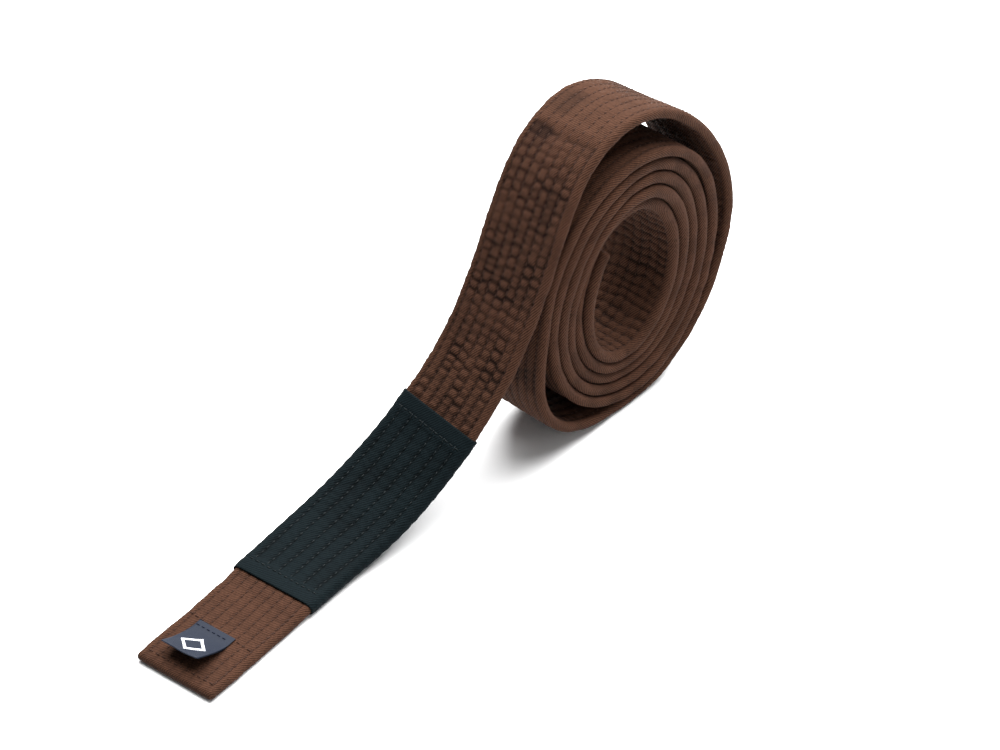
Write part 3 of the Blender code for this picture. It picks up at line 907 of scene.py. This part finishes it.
# %% The path of the label's tape
LABEL_ACROSS = -0.0020
LABEL_HALF_WIDTH = 0.00935
TAPE = 0.00034
BASE_BACK, BASE_FRONT, FLAP_START = 0.0295, 0.0247, 0.0235
FLAP_LENGTH = 0.0180
TIP_TOP = 2 * FREE_HALF_THICKNESS + 0.0001
HINGE_HEIGHT = 0.0052


def on_flap(back):
    """0 on the label's base, rising to 1 along the flap."""
    return smooth_step((BASE_FRONT - back) / 0.014)


def flap_curl(back, across):
    """How far the flap's two sides curl, for across from -1 to 1 over the tape's width."""
    return on_flap(back) * (0.0009 * across**2 - 0.0012 * smooth_step(-across - 0.2))


def flap_place(run):
    """(distance from the tip's end, height, slope in radians) at a distance run along the flap."""
    t = run / FLAP_LENGTH
    slope = np.radians(12 + 16 * t)
    turned = np.radians(12 + 8 * t)
    return FLAP_START - run * np.cos(turned), HINGE_HEIGHT + run * np.sin(turned), slope


run = np.linspace(0, FLAP_LENGTH, 30)
back, height, slope = flap_place(run)
fold_turn = np.radians(np.linspace(15, 165, 7))
fold_radius = 0.00030
fold_ahead = np.sin(fold_turn)
fold_down = 1 - np.cos(fold_turn)
end_cos, end_sin = np.cos(slope[-1]), np.sin(slope[-1])
fold_back = back[-1] - fold_radius * (end_cos * fold_ahead - end_sin * fold_down)
fold_height = height[-1] + fold_radius * (end_sin * fold_ahead - end_cos * fold_down)
under_back = back[::-1] + 2 * fold_radius * np.sin(slope[::-1])
under_height = height[::-1] - 2 * fold_radius * np.cos(slope[::-1])
base_back = np.linspace(BASE_BACK, BASE_FRONT, 10)
path_back = np.concatenate([base_back, back, fold_back, under_back])
path_height = np.concatenate([np.full(10, TIP_TOP + 0.0003), height, fold_height, under_height])
path = np.stack([path_back, path_height], -1)
path_way = unit(np.gradient(path, axis=0))
path_up = np.stack([path_way[:, 1], -path_way[:, 0]], -1)
path_length = np.concatenate([[0], np.cumsum(np.linalg.norm(np.diff(path, axis=0), axis=1))])
print(f"tape {path_length[-1] * 1000:.1f} mm long")


# %% The label's mesh
def tip_frame(back, across, height):
    """World points at distances back from the tip's end, across the strap, and above the floor."""
    centre, _, sideways, _ = directions(LENGTH - np.clip(back, 0, None))
    level = centre * [1, 1, 0] + sideways * across[:, None]
    return level + np.stack([np.zeros_like(height), np.zeros_like(height), height], -1)


columns = 26
across_way = np.linspace(-1, 1, columns)
tape_rings = []
for k in range(len(path)):
    curl = flap_curl(path[k, 0], across_way)
    ripple = 0.00015 * np.sin(3.0 * across_way + k / 9) * on_flap(path[k, 0])
    loop = []
    for facing in (1, -1):
        order = across_way if facing == 1 else across_way[::-1]
        rise = (curl + ripple) if facing == 1 else (curl + ripple)[::-1]
        offset = path_up[k] * facing * TAPE / 2
        ring_back = np.full(columns, path[k, 0] + offset[0])
        ring_height = path[k, 1] + offset[1] + rise
        loop.append(tip_frame(ring_back, LABEL_ACROSS + order * LABEL_HALF_WIDTH, ring_height))
    tape_rings.append(np.concatenate(loop))
tape_grid = np.array(tape_rings)
tape_normals = grid_normals(tape_grid)
middle_line = tape_grid.mean(1, keepdims=True)
side_way = np.sign(np.einsum("ijk,ijk->", tape_normals, tape_grid - middle_line))
round_tape = np.concatenate([np.linspace(0, 2 * LABEL_HALF_WIDTH, columns)] * 2)
label = grid_mesh("size_label", tape_grid, tape_normals * side_way, np.tile(round_tape, (len(path), 1)),
                  path_length, np.zeros(tape_grid.shape[:2]))
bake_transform(label)
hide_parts("label_base", "label_flap")
print("label:", len(label.data.polygons), "faces")

# %% [markdown]
# The base is held by one row of navy thread. On the flap a small white lozenge is woven in: it
# stands where a size would be printed, and it is made of short threads side by side across the tape.

# %% The label's stitching and its woven lozenge
place = np.arange(-0.0080, 0.0081, 0.0027)
row_back = np.full(len(place), 0.0268)
row_points = tip_frame(row_back, LABEL_ACROSS + place, np.full(len(place), TIP_TOP + 0.0006))
_, ahead, sideways, up = directions(LENGTH - row_back)
label_thread = stitches("label_stitching", row_points, sideways, ahead, up, 0.0019, 0.00024)
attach(label_thread, "tip")
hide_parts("label_thread")

LOZENGE_HALF = (0.0062, 0.0046)
LOZENGE_BAND = 0.0013
WHITE_RADIUS = 0.00024
centres, lengths, slopes = [], [], []
for run_offset in np.arange(-LOZENGE_HALF[0], LOZENGE_HALF[0] + 1e-6, 0.00036):
    reach = LOZENGE_HALF[1] * 1.45 * (1 - abs(run_offset) / LOZENGE_HALF[0])
    hole = max(0.0, reach - LOZENGE_BAND * 1.6)
    for sign in (-1, 1):
        centres.append((run_offset, sign * (reach + hole) / 2))
        lengths.append(max(reach - hole, 0.0005))
centres = np.array(centres)
flap_back, flap_height, flap_slope = flap_place(0.0092 + centres[:, 0])
lozenge_height = flap_height + flap_curl(flap_back, centres[:, 1] / LABEL_HALF_WIDTH)
lozenge_height = lozenge_height + TAPE / 2 + 0.00012
lozenge_points = tip_frame(flap_back, LABEL_ACROSS + centres[:, 1], lozenge_height)
_, ahead, sideways, up = directions(LENGTH - flap_back)
lean_up = unit(up * np.cos(flap_slope)[:, None] - ahead * np.sin(flap_slope)[:, None])
lean_ahead = np.cross(sideways, lean_up)
lengths = np.array(lengths)
lozenge = stitches(
    "label_woven_lozenge", lozenge_points, sideways, lean_ahead, lean_up, lengths, WHITE_RADIUS
)
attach(lozenge, "label_flap")
print("lozenge threads:", len(lengths))

# %% [markdown]
# ## Materials
# Colours are given as the usual hex codes and turned into the linear values that Blender computes
# with. A small helper adds a node, sets it up and links it, so that each material reads as a list
# of what it is made of.


# %% Helpers for materials
def linear(hex_code):
    """A hex colour as linear RGBA."""
    values = [int(hex_code[k : k + 2], 16) / 255 for k in (0, 2, 4)]
    return (*(c / 12.92 if c <= 0.04045 else ((c + 0.055) / 1.055) ** 2.4 for c in values), 1.0)


def add_node(tree, kind, settings=None, inputs=None):
    """Add a node, set its properties, and fill its inputs with values or links."""
    node = tree.nodes.new(kind)
    for name, value in (settings or {}).items():
        setattr(node, name, value)
    for name, value in (inputs or {}).items():
        if isinstance(value, bpy.types.NodeSocket):
            tree.links.new(value, node.inputs[name])
        else:
            node.inputs[name].default_value = value
    return node


def maths(tree, operation, *values, clamp=False):
    """A math node of up to three values, each a number or another node's output."""
    settings = {"operation": operation, "use_clamp": clamp}
    return add_node(tree, "ShaderNodeMath", settings, dict(enumerate(values)))


def noise(tree, vector, scale, detail):
    """A noise node: its spots are about 1 / scale mm across."""
    inputs = {"Vector": vector, "Scale": scale, "Detail": detail}
    return add_node(tree, "ShaderNodeTexNoise", inputs=inputs)


def new_material(name, roughness, **values):
    """A material with only its Principled shader set, and the shader."""
    made = bpy.data.materials.new(name)
    made.use_nodes = True
    shader = made.node_tree.nodes["Principled BSDF"]
    shader.inputs["Roughness"].default_value = roughness
    for socket, value in values.items():
        shader.inputs[socket.replace("_", " ")].default_value = value
    return made, shader


print("white is", linear("ffffff"))

# %% [markdown]
# ### Cotton twill
# In twill each yarn passes over two or three others and the next row steps sideways, which leaves
# fine diagonal ridges. Real ridges on a belt are about 0.6 mm apart; they are drawn 0.9 to 1 mm apart,
# because finer ones would be lost at this distance. Two noises break them up: slubs, where the yarn
# is thicker, and slow patches where the dye took differently. Cotton has short loose fibres on its
# surface, and a soft sheen gives the pale rim that they make at a glancing angle.


# %% Cotton twill
def twill(name, dark, light, ridge_mm, lean_deg, bump_mm, sheen, gloss, roughness, patches, lint):
    """A dyed cotton twill in the cloth's own millimetres."""
    made, shader = new_material(name, roughness, Sheen_Weight=sheen, Sheen_Roughness=0.45)
    shader.inputs["Sheen Tint"].default_value = light
    shader.inputs["Specular IOR Level"].default_value = gloss
    tree = made.node_tree
    cloth = add_node(tree, "ShaderNodeUVMap", {"uv_map": "cloth"})
    turned = add_node(tree, "ShaderNodeMapping", inputs={"Vector": cloth.outputs["UV"]})
    turned.inputs["Rotation"].default_value = (0, 0, -math.radians(lean_deg))
    ridges = add_node(
        tree, "ShaderNodeTexWave", {"wave_type": "BANDS", "bands_direction": "X"},
        {"Vector": turned.outputs["Vector"], "Scale": 0.314 / ridge_mm, "Distortion": 1.2,
         "Detail": 2.0, "Detail Scale": 1.5},
    )
    along_yarn = add_node(tree, "ShaderNodeMapping", inputs={"Vector": cloth.outputs["UV"]})
    along_yarn.inputs["Scale"].default_value = (1.0, 0.45, 1.0)
    slubs = noise(tree, along_yarn.outputs["Vector"], 1.6, 4.0)
    dye = noise(tree, cloth.outputs["UV"], 0.12, 3.0)
    fibre = noise(tree, cloth.outputs["UV"], 4.5, 2.0)
    weave = maths(tree, "MULTIPLY", ridges.outputs["Fac"], 0.62)
    weave = maths(tree, "MULTIPLY_ADD", slubs.outputs["Fac"], 0.75, weave.outputs["Value"])
    tone = maths(tree, "MULTIPLY_ADD", dye.outputs["Fac"], patches, weave.outputs["Value"])
    tone = maths(tree, "SUBTRACT", tone.outputs["Value"], 0.2 + patches / 2, clamp=True)
    colour = add_node(tree, "ShaderNodeMix", {"data_type": "RGBA"}, {"Factor": tone.outputs["Value"]})
    colour.inputs["A"].default_value, colour.inputs["B"].default_value = dark, light
    # Painted shade: where the skin lies deep in grooves and hollows, the colour is mixed by up to 85 %
    # towards a third of the dark tone.
    depth = add_node(tree, "ShaderNodeAttribute", {"attribute_name": "painted_shade"})
    painted_shade = maths(tree, "MULTIPLY", depth.outputs["Fac"], 0.85)
    shaded = add_node(tree, "ShaderNodeMix", {"data_type": "RGBA"},
                      {"Factor": painted_shade.outputs["Value"], "A": colour.outputs["Result"]})
    shaded.inputs["B"].default_value = tuple(c * 0.35 for c in dark[:3]) + (1.0,)
    specks = maths(tree, "GREATER_THAN", fibre.outputs["Fac"], lint)
    dusted = add_node(tree, "ShaderNodeMix", {"data_type": "RGBA"},
                      {"Factor": specks.outputs["Value"], "A": shaded.outputs["Result"]})
    dusted.inputs["B"].default_value = tuple(min(1.0, c * 2.2) for c in light[:3]) + (1.0,)
    tree.links.new(dusted.outputs["Result"], shader.inputs["Base Color"])
    height = maths(tree, "MULTIPLY_ADD", fibre.outputs["Fac"], 0.35, weave.outputs["Value"])
    bump = add_node(tree, "ShaderNodeBump", inputs={"Height": height.outputs["Value"], "Strength": 0.9})
    bump.inputs["Distance"].default_value = bump_mm / 1000
    tree.links.new(bump.outputs["Normal"], shader.inputs["Normal"])
    return made


brown_twill = twill("brown cotton twill, piece-dyed", linear("1b0f09"), linear("54382a"),
                    ridge_mm=0.9, lean_deg=32, bump_mm=0.26, sheen=0.05, gloss=0.08,
                    roughness=0.9, patches=0.25, lint=0.80)
black_twill = twill("black cotton twill, mercerised", linear("04080a"), linear("101a1d"),
                    ridge_mm=1.0, lean_deg=32, bump_mm=0.24, sheen=0.0, gloss=0.045,
                    roughness=0.75, patches=0.2, lint=0.82)
print("twills:", brown_twill.name, "|", black_twill.name)

# %% [markdown]
# ### Woven tape and thread
# The label is polyester tape woven on a narrow loom: flat, fine ribs across it and a slight gloss.
# The threads are two yarns twisted together, so each dash has a few slanting turns that catch light.


# %% Woven polyester tape, and sewing threads
def woven_tape(name, colour):
    """A fine ribbed polyester tape, with ribs 0.35 mm apart across it."""
    made, shader = new_material(name, 0.6, Specular_IOR_Level=0.15)
    tree = made.node_tree
    cloth = add_node(tree, "ShaderNodeUVMap", {"uv_map": "cloth"})
    ribs = add_node(tree, "ShaderNodeTexWave", {"wave_type": "BANDS", "bands_direction": "Y"},
                    {"Vector": cloth.outputs["UV"], "Scale": 0.314 / 0.35})
    warp = noise(tree, cloth.outputs["UV"], 2.0, 2.0)
    both = maths(tree, "MULTIPLY", ribs.outputs["Fac"], warp.outputs["Fac"])
    tone = add_node(tree, "ShaderNodeMix", {"data_type": "RGBA"}, {"Factor": both.outputs["Value"]})
    tone.inputs["A"].default_value = tuple(c * 0.7 for c in colour[:3]) + (1.0,)
    tone.inputs["B"].default_value = tuple(c * 1.5 for c in colour[:3]) + (1.0,)
    tree.links.new(tone.outputs["Result"], shader.inputs["Base Color"])
    bump = add_node(tree, "ShaderNodeBump", inputs={"Height": both.outputs["Value"], "Strength": 0.6})
    bump.inputs["Distance"].default_value = 0.00006
    tree.links.new(bump.outputs["Normal"], shader.inputs["Normal"])
    return made


def thread(name, colour, roughness):
    """Twisted sewing thread: slanting bands 0.5 mm apart round each dash."""
    made, shader = new_material(name, roughness, Specular_IOR_Level=0.12)
    tree = made.node_tree
    place = add_node(tree, "ShaderNodeTexCoord")
    ply = add_node(tree, "ShaderNodeTexWave", {"wave_type": "BANDS", "bands_direction": "DIAGONAL"},
                   {"Vector": place.outputs["Object"], "Scale": 0.314 / 0.0005})
    tone = add_node(tree, "ShaderNodeMix", {"data_type": "RGBA"}, {"Factor": ply.outputs["Fac"]})
    tone.inputs["A"].default_value = tuple(c * 0.7 for c in colour[:3]) + (1.0,)
    tone.inputs["B"].default_value = tuple(min(1.0, c * 1.15) for c in colour[:3]) + (1.0,)
    tree.links.new(tone.outputs["Result"], shader.inputs["Base Color"])
    return made


navy_tape = woven_tape("navy polyester tape, loom-woven", linear("121a29"))
brown_thread = thread("brown sewing thread, twisted cotton", linear("37231a"), 0.7)
black_thread = thread("black sewing thread, twisted polyester", linear("0e1517"), 0.5)
navy_thread = thread("navy sewing thread, twisted polyester", linear("10182a"), 0.5)
white_thread = thread("white weft thread, bright polyester", linear("e8eaf0"), 0.45)
print("materials:", len(bpy.data.materials))

# %% Give each piece its material
finishes = [(brown_twill, straps.values()), (brown_thread, [*row_threads.values(), tip_thread]),
            (black_twill, [rank_bar]), (black_thread, [bar_thread]), (navy_tape, [label]),
            (navy_thread, [label_thread]), (white_thread, [lozenge])]
for finish, pieces in finishes:
    for piece in pieces:
        piece.data.materials.append(finish)
print("pieces:", sum(len(list(pieces)) for _, pieces in finishes))

# %% [markdown]
# ## Floor, light and camera
# The floor is plain matt white. One very large soft light hangs above and slightly behind the roll,
# so its top is the brightest part, the tail that leans towards the viewer is in half shade, and the
# shadows on the floor have no edge. A weak second light and a pale world fill the shade. The camera
# is a long lens a good way off, which keeps the strap's two edges nearly parallel.


# %% Floor, lights and camera
def area_light(name, size, power, place, target):
    """A square soft light aimed at a point."""
    lamp = bpy.data.lights.new(name, "AREA")
    lamp.shape, lamp.size, lamp.energy = "SQUARE", size, power
    made = bpy.data.objects.new(name, lamp)
    bpy.context.scene.collection.objects.link(made)
    made.location = place
    way = np.array(target, float) - np.array(place, float)
    tilt = math.acos(-way[2] / np.linalg.norm(way))
    made.rotation_euler = (tilt, 0, math.atan2(way[1], way[0]) - math.pi / 2)
    return made


bpy.ops.mesh.primitive_plane_add(size=8, location=(0, 0, -0.0003))
floor = bpy.context.object
floor.name = "floor"
floor_finish, _ = new_material("matt white floor", 0.9)
floor_finish.node_tree.nodes["Principled BSDF"].inputs["Base Color"].default_value = (0.86, 0.86, 0.86, 1)
floor_finish.node_tree.nodes["Principled BSDF"].inputs["Specular IOR Level"].default_value = 0.1
floor.data.materials.append(floor_finish)
area_light("softbox_above", 2.0, 125, (-0.25, 0.60, 1.30), (0, 0, 0.05))
area_light("softbox_side", 0.9, 3, (1.1, 0.1, 0.7), (0, 0, 0.05))
world = bpy.data.worlds.new("studio")
world.use_nodes = True
world.node_tree.nodes["Background"].inputs["Color"].default_value = (0.95, 0.97, 1.0, 1)
world.node_tree.nodes["Background"].inputs["Strength"].default_value = 0.22
bpy.context.scene.world = world
bpy.context.scene.view_settings.view_transform = "Standard"

camera = bpy.data.objects.new("camera", bpy.data.cameras.new("camera"))
bpy.context.scene.collection.objects.link(camera)
camera.location = (0.8541, -0.9125, 1.1262)
camera.rotation_euler = (math.radians(49.51), 0, math.radians(41.98))
camera.data.lens = 144
camera.data.sensor_width = 36
camera.data.clip_start = 0.05
bpy.context.scene.camera = camera
print("camera at", tuple(camera.location))
